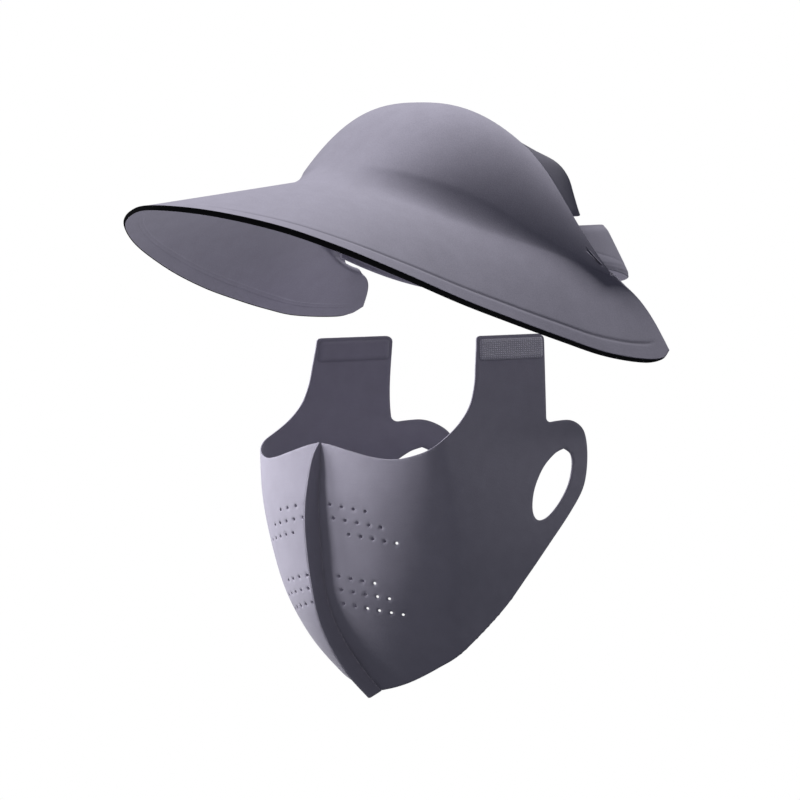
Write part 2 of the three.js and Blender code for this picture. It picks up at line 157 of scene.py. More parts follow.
# Cutting outlines of a mask half, seen square to this turn from the front: across and up
OUTLINE_TURN = math.radians(46)
TOP_EDGE = [
    (-20, 4), (0, 0), (7, -1.5), (20, -5.5), (33, -9), (46, -10.5), (58, -8.5), (69, -4.5),
    (80, 3), (89, 12), (95, 22), (98, 34), (99, 46), (100, 60),
]
TAB = {"front": 100, "rear": 143.5, "top": 64, "corner": 4, "notch": 10.5, "notch_round": 3}
LOOP_EDGE = [
    (151, 8), (159, 8), (165, 5), (169, -1), (170.5, -12), (169.5, -26), (166, -38), (157, -52), (144, -69),
    (128, -90), (112, -110), (86.5, -134), (71, -143.5), (56, -151.5), (45, -156), (33, -159.5), (10, -166),
]
SEAM_MARGIN = 0.3
CURVE_STEPS = {"edge": 7, "ear": 8, "seam": 110}
EAR_HOLE = [
    (155, -10), (159.5, -14), (160, -22), (157, -33.5), (150.5, -44.5), (142.5, -52.5), (136, -53.5),
    (133, -47), (134.5, -34.5), (140.5, -21.5), (148.5, -13),
]
HOLE = {"pitch": 7.4, "fall": 1.4, "points": 14}
HOLE_ROWS = {
    "across": [5.5, 7.5, 17, 10, 11.5, 12.5],
    "up": [-38.5, -47, -57, -83.5, -92, -101],
    "count": [4, 5, 5, 4, 5, 6],
}
PATCH = {"front": 101.5, "rear": 142, "top": 62, "bottom": 48.5, "corner": 2}
PATCH_GROWS = {"front": -1, "rear": 1, "top": 1, "bottom": -1, "corner": 1}
PATCH_DOME = {"edge": 0.35, "rise": 0.65, "reach": 1.6, "gap": 0.05}
# Pressed lines round each hook patch: the step between them, how much thinner the cloth is there, and how
# dark their painted shade is.
PRESSED = {"step": 0.7, "depth": 0.4, "shade": 0.6}

# Distances between points of the flat cloth: a staggered lattice that keeps clear of the lines
SPACING = {"cloth": 2.1, "patch": 0.9, "outline": 1.4, "ear": 1.2, "patch_outline": 0.7}
LATTICE = {"row": 0.866, "clear": 0.45}

# Centre seam fin: its front edge stands this far before the seam
FIN = {
    "z": [0, -6, -27, -49, -69, -93, -116, -132, -147, -163],
    "stand": [1, 5, 9.5, 11.5, 11.5, 10.5, 12.5, 13.8, 15, 14],
}
FIN_END_RISE = 4
FIN_WALL = 2.4
FIN_BEHIND = 1.0
FIN_SQUARED = 0.35
FIN_NICK = {"depth": 0.5, "width": 0.3, "front": 0.9}

# How far each piece's rounded edge stands out from its wall
ROLL = {"shell": 0.5, "edge": 0.2, "panel": 0.35, "strap": 0.5, "mask": 0.3, "patch": 0.15}

# Each piece's node and slot and, for cloth, its flat width and length in metres, its area in square metres,
# how it is held, what it rests on and which piece is cut with it
PIECES = {
    "hat_crown_and_brim": {
        "node": "hat_shell", "slot": "fabric", "flat": (0.4, 0.36), "area": 0.078, "held": "stretched",
        "with": ["brim_cut_edge"]},
    "brim_cut_edge": {"node": "brim_edge", "slot": "dark_edge"},
    "crown_back": {
        "node": "crown_back_panel", "slot": "fabric", "flat": (0.24, 0.1), "area": 0.019, "held": "stretched",
        "on": ["hat_crown_and_brim"]},
    "head_strap": {
        "node": "back_strap", "slot": "fabric", "flat": (0.36, 0.033), "area": 0.0112, "held": "stretched",
        "on": ["hat_crown_and_brim"]},
    "mask_seam_fin": {
        "node": "mask_centre_seam", "slot": "mask_fabric", "flat": (0.175, 0.014), "area": 0.0021,
        "held": "folded", "on": ["mask_cloth_left", "mask_cloth_right"]},
}
for word in ("left", "right"):
    PIECES["mask_cloth_" + word] = {
        "node": "mask_half_" + word, "slot": "mask_fabric", "flat": (0.2, 0.23), "area": 0.0297,
        "held": "hung"}
    PIECES["hook_patch_" + word] = {
        "node": "tab_patch_" + word, "slot": "hook_tape", "flat": (0.061, 0.0135), "area": 0.0008,
        "held": "laid", "on": ["mask_cloth_" + word]}

# Knits: the coordinates that the grain lies on, a stitch's width in metres, and how clear its rows are
KNITS = {
    "Bonded knit": {"place": "Object", "stitch": 0.0009, "rows": 0.0},
    "Back panel knit": {"place": "UV", "stitch": 0.0009, "rows": 0.4},
    "Strap knit": {"place": "UV", "stitch": 0.0009, "rows": 0.4},
    "Mask knit": {"place": "UV", "stitch": 0.0008, "rows": 0.5},
}
KNIT_COLOUR = (0.292, 0.276, 0.345)

# Camera, floor, and large soft lights, each towards the aim from a direction to the picture's right, towards
# the camera and up
AIM = Vector((0, -37, -131)) * MM
SENSOR_WIDTH = 36
FLOOR = {"radius": 40, "corners": 96}
SKY_COLOUR = (0.9, 0.94, 1.1, 1)
LIGHT_DISTANCE = 2.0
BRIM_PIECES = ("hat_crown_and_brim", "brim_cut_edge")
OUTER_PIECES = (*BRIM_PIECES, "head_strap")
HAT_PIECES = (*OUTER_PIECES, "crown_back")
MASK_SIDES = ("mask_cloth_left", "mask_cloth_right", "mask_seam_fin", "hook_patch_left")
MASK_PIECES = (*MASK_SIDES, "hook_patch_right")
LIGHTS = {
    "hat_key": {"from": (-0.52, 0, 0.85), "size": 1, "on": HAT_PIECES, "past": HAT_PIECES},
    "hat_rim": {"from": (0.42, -0.28, 0.86), "size": 1, "on": OUTER_PIECES, "past": HAT_PIECES},
    "hat_under": {"from": (-0.5, 0.3, -0.8), "size": 1, "on": HAT_PIECES, "past": HAT_PIECES},
    "mask_key": {"from": (-0.85, -0.4, 0.34), "size": 1, "on": MASK_PIECES, "past": MASK_PIECES},
    "mask_fill": {"from": (-0.93, 0.06, 0.36), "size": 0.5, "on": MASK_SIDES, "past": MASK_PIECES},
    "mask_rim": {"from": (0.75, -0.55, 0.35), "size": 1, "on": MASK_PIECES, "past": MASK_PIECES},
    "mask_front": {"from": (-0.15, 1, 0.2), "size": 1, "on": MASK_PIECES, "past": MASK_PIECES},
}

# What settings of one kind share
WALL = {"min": 0.0008, "max": 0.004, "unit": "LENGTH", "precision": 4}
RELIEF = {"min": 0, "max": 0.001, "unit": "LENGTH", "precision": 5}
COLOUR = {"min": 0, "max": 1, "subtype": "COLOR"}
POWER = {"min": 0, "max": 500, "unit": "POWER"}


class HatSettings(bpy.types.PropertyGroup):
    """Sizes and colours of the hat."""

    shell_wall: FloatProperty(
        name="Shell wall", description="Thickness of crown and brim", default=0.0022, **WALL)
    panel_wall: FloatProperty(
        name="Panel wall", description="Thickness of the back panel", default=0.0014, **WALL)
    strap_wall: FloatProperty(name="Strap wall", description="Thickness of the strap", default=0.0016, **WALL)
    groove_depth: FloatProperty(
        name="Groove depth", description="Depth of the pressed line inside the rim", default=0.0004, **RELIEF)
    cloth: FloatVectorProperty(
        name="Cloth", description="Colour of the bonded knit", default=KNIT_COLOUR, **COLOUR)
    edge: FloatVectorProperty(
        name="Edge", description="Colour of the cut edge", default=(0.004, 0.004, 0.005), **COLOUR)


class MaskSettings(bpy.types.PropertyGroup):
    """Sizes and colours of the mask."""

    wall: FloatProperty(name="Mask wall", description="Thickness of the mask's cloth", default=0.0012, **WALL)
    hole_radius: FloatProperty(
        name="Hole radius", description="Radius of a breathing hole", default=0.0009, min=0.0004, max=0.002,
        unit="LENGTH", precision=4)
    strip_rise: FloatProperty(
        name="Strip rise", description="How far each tab's inner face stands out behind its hook patch",
        default=0.0007, **RELIEF)
    cloth: FloatVectorProperty(
        name="Cloth", description="Colour of the stretch knit", default=KNIT_COLOUR, **COLOUR)
    tape: FloatVectorProperty(
        name="Hook tape", description="Colour of the hook patches", default=(0.52, 0.5, 0.58), **COLOUR)


class StageSettings(bpy.types.PropertyGroup):
    """Camera, lights and floor."""

    azimuth: FloatProperty(
        name="Azimuth", description="Turn of the camera round the object", default=math.radians(46),
        subtype="ANGLE")
    elevation: FloatProperty(
        name="Elevation", description="Angle of the camera above level", default=math.radians(3),
        subtype="ANGLE")
    distance: FloatProperty(
        name="Distance", description="From the camera to the middle of the object", default=3.0,
        min=1, max=10, unit="LENGTH")
    lens: FloatProperty(
        name="Focal length", description="Focal length in millimetres", default=212.6, min=50, max=400,
        subtype="DISTANCE_CAMERA")
    hat_key: FloatProperty(
        name="Hat key light", description="High light on the hat, at its left", default=35, **POWER)
    hat_rim: FloatProperty(
        name="Hat rim light", description="High light on the hat, at its right", default=24, **POWER)
    hat_under: FloatProperty(
        name="Hat under light", description="Light on the brim's underside, from below", default=24, **POWER)
    mask_key: FloatProperty(
        name="Mask key light", description="Low light on the mask, at its left", default=64, **POWER)
    mask_fill: FloatProperty(
        name="Mask fill light", description="Smaller light on the mask, from the left", default=29, **POWER)
    mask_rim: FloatProperty(
        name="Mask rim light", description="Light behind the mask, at its right", default=10, **POWER)
    mask_front: FloatProperty(
        name="Mask front light", description="Weak light on the mask, from the camera", default=5, **POWER)
    sky: FloatProperty(
        name="Surrounding light", description="Strength of the even light all round", default=0.11,
        min=0, max=2)
    floor_drop: FloatProperty(
        name="Floor drop", description="From the lowest point of the mask down to the floor", default=0.25,
        min=0, max=2, unit="LENGTH")


def read_table(table, key, column, place):
    """Cubic pieces through a table's values, the slope at each the mean of the chords on its two sides."""
    at, value = np.array(table[key], float), np.array(table[column], float)
    sign = np.sign(at[-1] - at[0])
    at, place = at * sign, np.asarray(place, float) * sign
    chord = np.diff(value) / np.diff(at)
    slope = np.concatenate([chord[:1], (chord[:-1] + chord[1:]) / 2, chord[-1:]])
    i = np.clip(np.searchsorted(at, place) - 1, 0, len(at) - 2)
    span = at[i + 1] - at[i]
    t = (place - at[i]) / span
    return (
        value[i] * (2 * t**3 - 3 * t**2 + 1)
        + slope[i] * span * (t**3 - 2 * t**2 + t)
        + value[i + 1] * (3 * t**2 - 2 * t**3)
        + slope[i + 1] * span * (t**3 - t**2)
    )


def smoothstep(value, low, high):
    """Nought at low, one at high, and level at both."""
    t = np.clip((value - low) / (high - low), 0, 1)
    return t * t * (3 - 2 * t)


def stacked(x, y, z):
    """Points from their coordinates, each a number or an array."""
    return np.stack(np.broadcast_arrays(x, y, z), -1).astype(float)


def crown_height(x, y):
    """Fold's plane plus a cubic in the distance back from the fold's front, which a level rib loses from the
    middle to the side by powers of its share."""
    inside = np.maximum(y - FOLD_FRONT_Y, 1e-6)
    along = inside / CROWN_LENGTH
    rise = CROWN_RISE["linear"] * along + CROWN_RISE["square"] * along**2 + CROWN_RISE["cube"] * along**3
    across = np.clip(FOLD_CURVE * x * x / inside, 0, 1)
    return FOLD_FRONT_Z - FOLD_FALL * inside + rise * (1 - across ** RIB["top"]) ** RIB["side"]


def crown_normal(x, y):
    """Upward normal of the crown over a plan point, by small differences."""
    step = 0.5
    slope_x = (crown_height(x + step, y) - crown_height(x - step, y)) / (2 * step)
    slope_y = (crown_height(x, y + step) - crown_height(x, y - step)) / (2 * step)
    return unit(stacked(-slope_x, -slope_y, 1))


def arch_y(x):
    """Rear arch in plan: straight across the top of the head, then swept back to the notch by a power."""
    return ARCH_TOP_Y + (NOTCH_Y - ARCH_TOP_Y) * (x / NOTCH_X) ** ARCH_CURVE


def crown_point(column, row):
    """Line from the rear arch, row 0, straight forward in plan to the fold, row 1, laid on the crown."""
    x = NOTCH_X * column
    y = arch_y(x) + (FOLD_FRONT_Y + FOLD_CURVE * x * x - arch_y(x)) * row
    return stacked(x, y, crown_height(x, y))


def brim_point(column, row):
    """Straight from the fold to the rim's table, plus half a sine between them that crowns the sides and bows
    the rear lobe."""
    rim = stacked(*(read_table(RIM, "at", axis, column) for axis in "xyz"))
    fold = crown_point(column, 1)
    point = fold + (rim - fold) * np.asarray(row)[..., None]
    arch = np.sin(np.pi * row)
    lobe = smoothstep(column, LOBE_BOW["from"], 1) * arch
    side = smoothstep(column, BRIM_CROWNING["from"], BRIM_CROWNING["to"])
    point[..., 2] += BRIM_CROWNING["side"] * side * (arch - lobe)
    return point + lobe[..., None] * np.array([LOBE_BOW[axis] for axis in "xyz"])


def on_side(point, side, loose=0.0):
    """Left half's point put on its side; the left lobe hangs lower than the right, more towards the rim."""
    hang = LOBE_TWIST["fall"] * smoothstep(point[..., 1], LOBE_TWIST["from"], LOBE_TWIST["to"]) * loose
    sunk = point[..., 2] - hang * side * np.minimum(point[..., 0] / NOTCH_X, 1)
    return stacked(point[..., 0] * side, point[..., 1], sunk)


def crown_rows(column, count=500):
    """Rows of each crown line that are even steps of length along it, from the arch to just before the fold,
    and the length kept for the fold's rounding. The lengths are added up over many small steps."""
    fine = 1 - (1 - np.linspace(0, 1, count)) ** 3
    line = crown_point(column[:, None], fine)
    length = climbing(np.linalg.norm(np.diff(line, axis=1), axis=-1))
    sharp = smoothstep(column, FOLD_RADIUS["from"], FOLD_RADIUS["to"])
    radius = FOLD_RADIUS["front"] + (FOLD_RADIUS["side"] - FOLD_RADIUS["front"]) * sharp
    radius = np.minimum(radius, FOLD_RADIUS["share"] * length[:, -1])
    wanted = np.linspace(0, 1, CROWN_ROWS) * (length[:, -1] - radius)[:, None]
    rows = [np.interp(places, lengths, fine) for places, lengths in zip(wanted, length)]
    return np.stack(rows, 1), radius


def brim_length(column):
    """Length of a brim row as it runs near the rim."""
    near = brim_point(column, np.full_like(column, 1 - RIM_SHARE))
    return np.linalg.norm(brim_point(column, np.ones_like(column)) - near, axis=-1) / RIM_SHARE


def shell_sheet():
    """Crown rows, then the fold rounded by a parabola with its corner on the fold, then brim rows to the rim.
    Gives points, faces and the share of the pressed groove, a bell curve of the distance from the rim."""
    even = np.linspace(-1, 1, SHELL_COLUMNS + 1)
    column, side = 1 - (1 - np.abs(even)) ** COLUMN_CROWDING, np.where(even < 0, -1.0, 1.0)
    rows, radius = crown_rows(column)
    length = brim_length(column)
    first_row = radius / length

    crown = on_side(crown_point(column, rows), side)
    middle = on_side(crown_point(column, 1), side)
    first = on_side(brim_point(column, first_row), side, first_row)
    u = np.linspace(0, 1, FOLD_ROWS + 1)[1:-1, None, None]
    fold = (1 - u) ** 2 * crown[-1] + 2 * u * (1 - u) * middle + u**2 * first

    inner_end = 1 - NEAR_RIM[0] / length
    share = np.linspace(0, 1, BRIM_ROWS)[:-1, None]
    rows = np.concatenate([
        first_row + (inner_end - first_row) * share,
        1 - np.array(NEAR_RIM)[:, None] / length,
    ])
    bare = smoothstep(column, RIM_WITHOUT_EDGE["from"], RIM_WITHOUT_EDGE["to"])
    rows[-1] += NEAR_RIM[-1] / length * bare
    brim = on_side(brim_point(np.broadcast_to(column, rows.shape), rows), side, rows)

    grid = np.concatenate([crown, fold, brim])
    on_crown = np.full((len(crown) + len(fold), len(column)), FAR_FROM_RIM)
    inside = np.concatenate([on_crown, (1 - rows) * length])
    groove = bell(inside - GROOVE["inside"], GROOVE["width"])
    groove *= smoothstep(column, GROOVE["from"], GROOVE["to"])
    groove *= 1 - smoothstep(column, GROOVE["fades"], GROOVE["ends"])
    faces, cells = grid_faces(len(grid), len(column))
    between = (column[:-1] + column[1:]) / 2
    slit_columns = (between > SLIT["columns"][0]) & (between < SLIT["columns"][1])
    middle_row = (np.arange(len(grid) - 1) + 0.5) / (CROWN_ROWS - 1)
    slit_rows = (middle_row > SLIT["rows"][0]) & (middle_row < SLIT["rows"][1])
    faces = faces[~(slit_rows[:, None] & slit_columns[None, :]).ravel()[cells]]
    return merged(grid.reshape(-1, 3), faces, groove.reshape(-1, 1))


def grid_faces(rows, columns):
    """Two triangles for each cell of a grid, and the cell that each is in."""
    i, j = np.meshgrid(np.arange(rows - 1), np.arange(columns - 1), indexing="ij")
    a = (i * columns + j).ravel()
    b = a + columns
    cell = np.arange(len(a))
    faces = np.concatenate([np.stack([a, b, b + 1], 1), np.stack([a, b + 1, a + 1], 1)])
    return faces, np.concatenate([cell, cell])


def merged(points, faces, values):
    """Points that lie together become one, and faces that lose a corner go."""
    _, first, back = np.unique(np.round(points, 3) + 0.0, axis=0, return_index=True, return_inverse=True)
    faces = back.ravel()[faces]
    a, b, c = faces.T
    return points[first], faces[(a != b) & (b != c) & (c != a)], values[first]


def point_normals(points, faces):
    """Mean of the normals of the faces round each point, weighted by their area."""
    corner = points[faces]
    face = np.cross(corner[:, 1] - corner[:, 0], corner[:, 2] - corner[:, 0])
    normal = np.zeros_like(points)
    for k in range(3):
        np.add.at(normal, faces[:, k], face)
    return unit(normal)


def unit(vectors):
    """Vectors divided by their length."""
    return vectors / np.maximum(np.linalg.norm(vectors, axis=-1, keepdims=True), 1e-12)


def wall(points, faces, thickness, roll, steps=4):
    """Closed cloth behind a sheet: its points pushed back along their normals by the thickness, and half an
    ellipse, as deep as the roll, round every open edge. Also gives the sheet point behind each point."""
    count = len(points)
    thickness = np.broadcast_to(thickness, (count,))[:, None]
    normal = point_normals(points, faces)
    pairs = np.concatenate([faces[:, [0, 1]], faces[:, [1, 2]], faces[:, [2, 0]]])
    _, first, times = np.unique(pairs.min(1) * count + pairs.max(1), return_index=True, return_counts=True)
    p, q = pairs[first[times == 1]].T
    along = np.zeros_like(points)
    for end in (p, q):
        np.add.at(along, end, unit(points[q] - points[p]))
    edge = np.unique([p, q])
    out = np.zeros_like(points)
    out[edge] = unit(np.cross(along[edge], normal[edge]))
    front = points - out * roll
    back = front - normal * thickness
    sunk = normal[edge] * thickness[edge] / 2
    rings = [
        front[edge] + out[edge] * roll * np.sin(turn) - sunk * (1 - np.cos(turn))
        for turn in np.linspace(0, np.pi, steps + 1)[1:-1]
    ]

    own, place = np.arange(count), np.zeros(count, int)
    place[edge] = np.arange(len(edge))
    numbers = [own, *(2 * count + k * len(edge) + place for k in range(steps - 1)), own + count]
    strips = []
    for upper, lower in zip(numbers[:-1], numbers[1:]):
        strips.append(np.stack([upper[q], upper[p], lower[p]], 1))
        strips.append(np.stack([upper[q], lower[p], lower[q]], 1))
    return (
        np.concatenate([front, back, *rings]),
        np.concatenate([faces, faces[:, ::-1] + count, *strips]),
        np.concatenate([own, own, np.tile(edge, steps - 1)]),
    )


def make_piece(name, points, faces, material, uv=None, groove_shade=None):
    """Smooth mesh at the origin from millimetres, with its map and its point attribute, in its node's stead
    on the one body."""
    mesh = bpy.data.meshes.new(name)
    mesh.from_pydata((points * MM).tolist(), [], faces.tolist())
    mesh.polygons.foreach_set("use_smooth", np.ones(len(faces), bool))
    if uv is not None:
        layer = mesh.uv_layers.new(name="UVMap")
        layer.data.foreach_set("uv", (uv[faces.ravel()] * MM).astype(np.float32).ravel())
    # The point attribute is the share of painted shade in a pressed groove.
    if groove_shade is not None:
        attribute = mesh.attributes.new("press", "FLOAT", "POINT")
        attribute.data.foreach_set("value", groove_shade.astype(np.float32).ravel())
    mesh.materials.append(material)
    mesh.validate()
    mesh.update()
    piece = bpy.data.objects.new(name, mesh)
    bpy.context.scene.collection.objects.link(piece)
    cut = PIECES[name]
    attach(piece, "root")
    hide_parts(cut["node"])


def make_band(name, sheet, material, thickness, roll):
    """Cloth of one thickness behind a sheet's points, faces and map."""
    points, faces, uv = sheet
    closed, all_faces, source = wall(points, faces, thickness / MM, roll)
    make_piece(name, closed, all_faces, material, uv[source])


def make_pair(name, points, faces, material, uv, groove_shade=None):
    """Left half's piece, and the right one as its mirror image."""
    for word, side in (("left", 1), ("right", -1)):
        placed, turned = placed_mask(points, faces, side)
        make_piece(name + word, placed, turned, material, uv, groove_shade)


def mapped_grid(grid):
    """Points and faces of a grid, and its map: the length across from its middle column and down from its top
    row."""
    across = climbing(np.linalg.norm(np.diff(grid, axis=1), axis=-1).mean(0))
    down = climbing(np.linalg.norm(np.diff(grid, axis=0), axis=-1).mean(1))
    uv = np.stack(np.broadcast_arrays(across - across.mean(), -down[:, None]), -1)
    faces, _ = grid_faces(*grid.shape[:2])
    return merged(grid.reshape(-1, 3), faces, uv.reshape(-1, 2))


def climbing(steps):
    """Sums of the steps so far, from nought, along the last axis."""
    return np.concatenate([np.zeros_like(steps[..., :1]), np.cumsum(steps, -1)], -1)


def circle(angle):
    """Points of the unit circle at angles in radians."""
    return np.stack([np.cos(angle), np.sin(angle)], -1)


def bell(value, width):
    """One at nought, falling off on both sides as the exponential of minus the square."""
    return np.exp(-((value / width) ** 2))


def panel_sheet(rows=44, columns=72):
    """At each height of the rear arch, half an ellipse from one side to the other, its depth the table's
    bulge, with its ends carried on under the shell."""
    share = np.maximum(np.linspace(0, 1, rows) * PANEL["along"][-1], PANEL_TOP)[:, None]
    x = NOTCH_X * share
    edge, tuck = (
        stacked(x, y, crown_height(x, y)) - crown_normal(x, y) * PANEL_INSET
        for y in (arch_y(x), arch_y(x) - PANEL_TUCK)
    )
    turn = np.linspace(0, np.pi, columns)
    bulge = read_table(PANEL, "along", "bulge", share)
    arc = stacked(edge[..., 0] * np.cos(turn), edge[..., 1] + bulge * np.sin(turn), edge[..., 2] + 0 * turn)
    return mapped_grid(np.concatenate([on_side(tuck, 1.0), arc, on_side(tuck, -1.0)], 1))


def strap_sheet(rows=60, columns=150):
    """Band on an elliptic cone that opens downwards, drawn in along its edges and creases by bell curves."""
    turn = np.linspace(STRAP["turn"][0], STRAP["turn"][-1], columns)
    share = np.linspace(0, 1, rows)[:, None]
    whole = read_table(STRAP, "turn", "height", turn)
    height = whole * share
    angle = np.radians(turn)
    drawn_in = STRAP_CURL["depth"] * bell(np.minimum(height, whole - height), STRAP_CURL["reach"])
    for crease in STRAP_CREASES:
        away = share - crease["at"] - crease["slant"] * (turn - CREASE["turn"])
        fades = 1 - smoothstep(turn, CREASE["from"], CREASE["to"])
        drawn_in = drawn_in + CREASE["depth"] * bell(away, CREASE["width"]) * fades
    flare = STRAP_FLARE * height - drawn_in
    x = (STRAP_HALF + flare) * np.cos(angle)
    y = STRAP_CENTRE_Y + (STRAP_REACH + flare) * np.sin(angle)
    return mapped_grid(stacked(x, y, read_table(STRAP, "turn", "top", turn) - height))


def mask_point(z, share):
    """Level section of the left half: a quarter of an ellipse from the seam to the side up to the corner's
    share, then a nearly straight line back that leans in."""
    seam, half, rounding, taper = (
        read_table(MASK_SECTIONS, "z", column, z) for column in ("seam", "half", "round", "taper"))
    turn = np.pi / 2 * np.minimum(share / MASK_CORNER, 1)
    back = MASK_REACH * np.maximum(share - MASK_CORNER, 0) / (1 - MASK_CORNER)
    x = SEAM_START + (half - SEAM_START) * np.sin(turn) - taper * back**2 / (back + rounding)
    y = seam + rounding * (1 - np.cos(turn)) + back
    return stacked(x, y, z)


def mask_across(z, share):
    """How far across a place on the section lies, as seen square to the outline's turn."""
    point = mask_point(z, share)
    return point[..., 0] * math.cos(OUTLINE_TURN) + point[..., 1] * math.sin(OUTLINE_TURN)


def mask_share(across, up, halvings=30):
    """Share of the section that is seen at a place of the outline, found by halving."""
    low, high = np.zeros_like(across), np.ones_like(across)
    for _ in range(halvings):
        middle = (low + high) / 2
        beyond = mask_across(up, middle) > across
        low, high = np.where(beyond, low, middle), np.where(beyond, middle, high)
    return (low + high) / 2


def section_length(up, share, steps=24):
    """Length along a level section from the seam to a share of it."""
    part = np.linspace(0, 1, steps + 1)[:, None] * share
    run = np.diff(mask_point(np.broadcast_to(up, part.shape), part), axis=0)
    return np.linalg.norm(run, axis=-1).sum(0)


def spline(points, steps):
    """Cubic pieces through points, the slope at each half the step between its neighbours, ends repeated."""
    p = np.array(points, float)
    p = np.concatenate([p[:1], p, p[-1:]])
    t = np.linspace(0, 1, steps, endpoint=False)[:, None]
    pieces = []
    for a, b, c, d in zip(p[:-3], p[1:-2], p[2:-1], p[3:]):
        m, n = (c - a) / 2, (d - b) / 2
        pieces.append(
            b + m * t + (3 * (c - b) - 2 * m - n) * t**2 + (2 * (b - c) + m + n) * t**3)
    return np.concatenate([*pieces, p[-1:]])


def quarter(centre, radius, start, steps=6):
    """Quarter of a circle, turning clockwise from an angle in degrees."""
    angle = np.radians(np.linspace(start, start - 90, steps))
    return np.array(centre) + radius * circle(angle)


def half_outline():
    """Closed outline of a mask half, clockwise: top edge, tab, ear loop, lower edge and back up the seam."""
    top = spline(TOP_EDGE, CURVE_STEPS["edge"])
    rear, corner = TAB["rear"], TAB["corner"]
    tab = np.concatenate([
        quarter((TAB["front"] + corner / 2, TAB["top"] - corner / 2), corner / 2, 180),
        quarter((rear - corner, TAB["top"] - corner), corner, 90),
    ])
    turn = TAB["notch_round"]
    notch = np.array([rear + turn, TAB["notch"]]) + turn * circle(np.radians(180 + np.linspace(0, 90, 6)))
    loop = spline([(rear + turn, TAB["notch"] - turn), *LOOP_EDGE], CURVE_STEPS["edge"])
    path = np.concatenate([top[:-1], tab, notch, loop[1:]])
    seam = mask_across(path[:, 1], np.zeros(len(path)))
    path = path[path[:, 0] > seam + SEAM_MARGIN]
    up = np.linspace(path[-1, 1] - SEAM_MARGIN, path[0, 1] + SEAM_MARGIN, CURVE_STEPS["seam"])
    return np.concatenate([path, np.stack([mask_across(up, np.zeros_like(up)), up], 1)])


def spaced_evenly(path, spacing, fewest=12):
    """Closed path cut again into even steps."""
    ring = np.concatenate([path, path[:1]])
    length = climbing(np.linalg.norm(np.diff(ring, axis=0), axis=1))
    places = np.linspace(0, length[-1], max(int(length[-1] / spacing), fewest), endpoint=False)
    return np.stack([np.interp(places, length, ring[:, k]) for k in range(2)], 1)


def within(points, ring):
    """Whether each point lies inside a closed ring, by counting the sides that a level ray crosses."""
    a, b = ring, np.roll(ring, -1, axis=0)
    x, y = points[:, 0, None], points[:, 1, None]
    rise = np.where(b[:, 1] == a[:, 1], 1e-12, b[:, 1] - a[:, 1])
    crosses = ((a[:, 1] > y) != (b[:, 1] > y)) & (x < a[:, 0] + (y - a[:, 1]) * (b[:, 0] - a[:, 0]) / rise)
    return crosses.sum(1) % 2 == 1


def distance_to(points, rings):
    """Distance from each point to the nearest point of the rings."""
    every = np.concatenate(rings)
    gap = points[:, None, :].astype(np.float32) - every[None, :, :].astype(np.float32)
    return np.sqrt((gap**2).sum(-1).min(1))


def cut_sheet(outline, holes, spacing, lines=()):
    """Flat cloth cut to an outline with holes: a staggered lattice inside them, their own points and those of
    closed lines to keep, joined by triangles whose circles hold no other point. Those in the cloth stay."""
    low, high = outline.min(0), outline.max(0)
    rows = np.arange(low[1], high[1], spacing * LATTICE["row"])
    x, y = np.meshgrid(np.arange(low[0], high[0], spacing), rows)
    x = x + (np.arange(len(rows)) % 2)[:, None] * spacing / 2
    lattice = np.stack([x.ravel(), y.ravel()], 1)
    rings = [outline, *holes, *lines]
    clear = distance_to(lattice, rings) > spacing * LATTICE["clear"]
    flat = np.concatenate([*rings, lattice[clear & in_cloth(lattice, outline, holes)]])
    ends = np.cumsum([len(ring) for ring in rings])
    edges = [np.stack([part, np.roll(part, -1)], 1) for part in np.split(np.arange(ends[-1]), ends[:-1])]
    made = delaunay_2d_cdt([Vector(p) for p in flat], np.concatenate(edges).tolist(), [], 0, 1e-6)
    points = np.array([tuple(p) for p in made[0]])
    faces = np.array([tuple(f) for f in made[2]])
    faces = faces[in_cloth(points[faces].mean(1), outline, holes)]
    a, b, c = points[faces.T]
    turned = (b[:, 0] - a[:, 0]) * (c[:, 1] - a[:, 1]) < (b[:, 1] - a[:, 1]) * (c[:, 0] - a[:, 0])
    faces[turned] = faces[turned][:, ::-1]
    used, back = np.unique(faces, return_inverse=True)
    return points[used], back.reshape(faces.shape)


def in_cloth(points, outline, holes):
    """Whether each point lies inside the outline and in none of the holes."""
    return within(points, outline) & ~np.any([within(points, hole) for hole in holes], axis=0)


def breathing_holes(radius):
    """Rings of the breathing holes, row by row."""
    ring = radius * circle(np.linspace(0, 2 * np.pi, HOLE["points"], endpoint=False))
    return [
        ring + (across + HOLE["pitch"] * k, up - HOLE["fall"] * k)
        for across, up, count in zip(*HOLE_ROWS.values())
        for k in range(count)
    ]


def placed_mask(points, faces, side):
    """Left half's points on either side, rolled about the line of sight forward and set at the nose."""
    point = points * np.array([side, 1, 1])
    roll = math.radians(MASK_ROLL)
    x = point[:, 0] * math.cos(roll) + point[:, 2] * math.sin(roll)
    z = -point[:, 0] * math.sin(roll) + point[:, 2] * math.cos(roll)
    placed = stacked(x, point[:, 1], z) + NOSE
    return placed, faces if side > 0 else faces[:, ::-1]


def rounded_box(front, rear, top, bottom, corner):
    """Clockwise outline of a rectangle with round corners."""
    return np.concatenate([
        quarter((front + corner, top - corner), corner, 180),
        quarter((rear - corner, top - corner), corner, 90),
        quarter((rear - corner, bottom + corner), corner, 0),
        quarter((front + corner, bottom + corner), corner, -90),
    ])


def patch_outline(grown=0.0):
    """Outline of a hook patch, with each side moved out by the distance grown."""
    box = {side: place + PATCH_GROWS[side] * grown for side, place in PATCH.items()}
    return spaced_evenly(rounded_box(**box), SPACING["patch_outline"])


